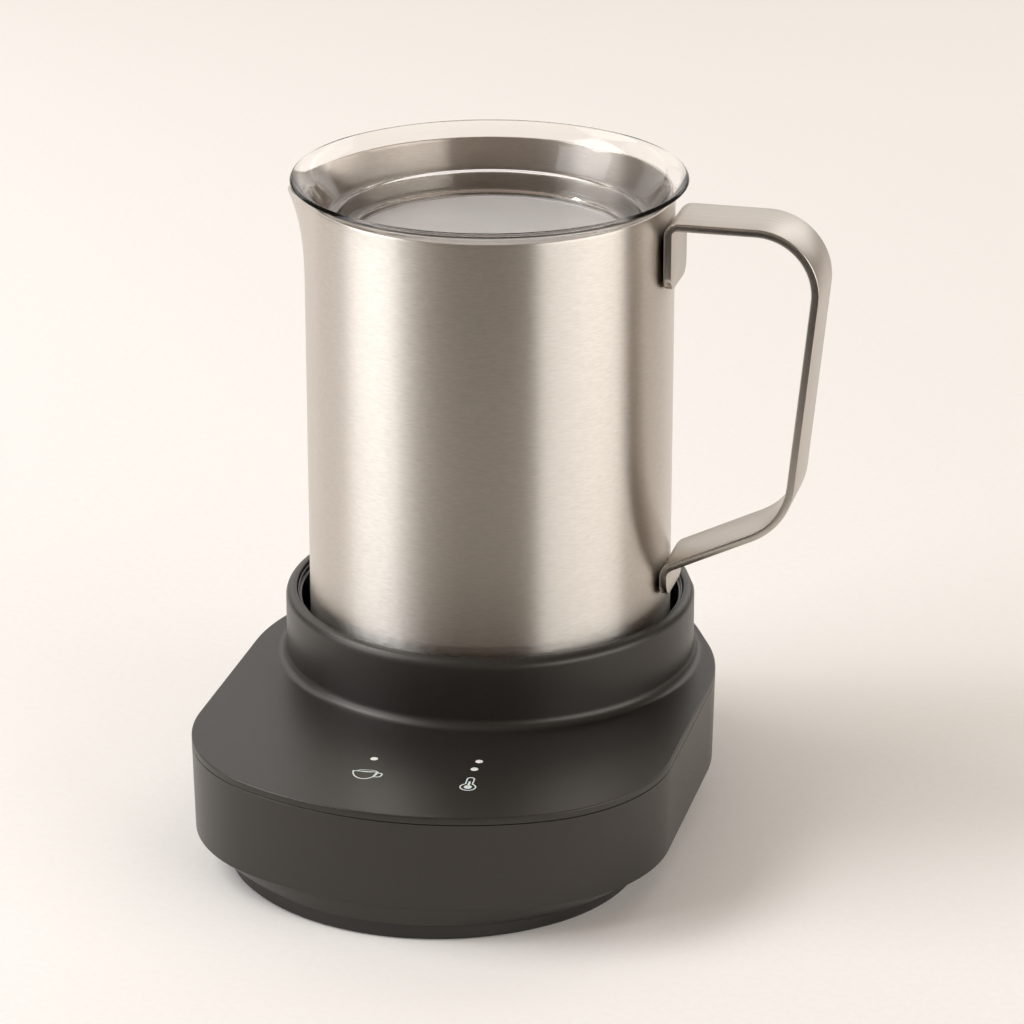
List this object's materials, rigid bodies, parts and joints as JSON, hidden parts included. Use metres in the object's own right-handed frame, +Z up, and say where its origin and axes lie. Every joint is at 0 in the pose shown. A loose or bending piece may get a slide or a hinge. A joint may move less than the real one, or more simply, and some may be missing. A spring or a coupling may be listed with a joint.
{
  "type": "milk frother",
  "caption": "Induction milk frother: a steel jug with a strap handle and clear lid lifts out of a round collar on a low base, whose magnet rotor turns a spring whisk inside the jug.",
  "frame": {"origin": "the jug's axis on the surface that the base stands on", "axes": "+Z up, the control deck is at -Y, the back wall with the cord bush at +Y, the jug's handle at +X and its pouring lip at -X"},
  "size_m": [0.1568, 0.1736, 0.1733],
  "materials": {
    "brushed_steel": "horizontally brushed stainless steel",
    "steel_strap": "satin stainless strip with polished edges",
    "ring_steel": "dull magnetic stainless sheet",
    "satin_charcoal": "fine satin moulding",
    "gloss_black": "polished moulding",
    "cover_black": "fine texture",
    "rubber_black": "soft moulded",
    "cradle_grey": "heat-resistant moulding",
    "silicone_grey": "moulded silicone",
    "litz_copper": "lacquered wire",
    "carrier_white": "glass-filled moulding",
    "ferrite": "sintered",
    "spring_steel": "drawn wire",
    "motor_can": "zinc plated",
    "magnet_nickel": "nickel plated",
    "board_green": "solder mask",
    "heat_sink_alu": "extruded",
    "light_clear": "diffusing",
    "clear_plastic": "clear moulding",
    "whisk_plastic": "fine satin moulding",
    "whisk_steel": "polished wire"
  },
  "bodies": {
    "base": {"foot_ring": "rubber_black", "bottom_cover": "cover_black", "bottom_screws": "spring_steel", "base_housing": "satin_charcoal", "cord_bush": "rubber_black", "top_cover": "satin_charcoal", "cradle_ring": "gloss_black", "cradle_plate": "cradle_grey", "plate_seal": "silicone_grey", "induction_coil": "litz_copper", "coil_carrier": "carrier_white", "ferrite_bars": "ferrite", "sensor_guide": "carrier_white", "sensor_spring": "spring_steel", "motor_mount": "rubber_black", "motor": "motor_can", "power_board": "board_green", "heat_sink": "heat_sink_alu", "control_board": "board_green", "touch_springs": "spring_steel", "light_guides": "light_clear", "fan_frame": "cover_black"},
    "sensor": {"temp_sensor": "whisk_steel"},
    "drive": {"motor_shaft": "spring_steel", "drive_rotor": "carrier_white", "drive_magnets": "magnet_nickel"},
    "fan": {"fan_impeller": "cover_black"},
    "jug": {"jug_body": "brushed_steel", "induction_ring": "ring_steel", "handle": "steel_strap", "whisk_pin": "whisk_steel"},
    "whisk": {"whisk_hub": "whisk_plastic", "whisk_magnets": "magnet_nickel", "whisk_coil": "whisk_steel"},
    "lid": {"lid": "clear_plastic"}
  },
  "joints": [
    {"name": "jug_lift", "type": "slide", "parent": "base", "child": "jug", "axis": [0, 0, 1], "range_m": [0, 0.06]},
    {"name": "lid_lift", "type": "slide", "parent": "jug", "child": "lid", "axis": [0, 0, 1], "range_m": [0, 0.04]},
    {"name": "drive_spin", "type": "hinge", "parent": "base", "child": "drive", "pos_m": [0, 0, 0.025], "axis": [0, 0, 1], "continuous": true},
    {"name": "whisk_spin", "type": "hinge", "parent": "jug", "child": "whisk", "pos_m": [0, 0, 0.039], "axis": [0, 0, 1], "continuous": true},
    {"name": "fan_spin", "type": "hinge", "parent": "base", "child": "fan", "pos_m": [-0.036, -0.006, 0.0073], "axis": [0, 0, 1], "continuous": true},
    {"name": "sensor_press", "type": "slide", "parent": "base", "child": "sensor", "axis": [0, 0, 1], "range_m": [-0.0015, 0], "stiffness_N_per_m": 60, "springref_m": 0.001, "deforming": ["sensor_spring"]}
  ],
  "couplings": [
    {"joint": "whisk_spin", "follows": "drive_spin", "ratio": 1}
  ]
}
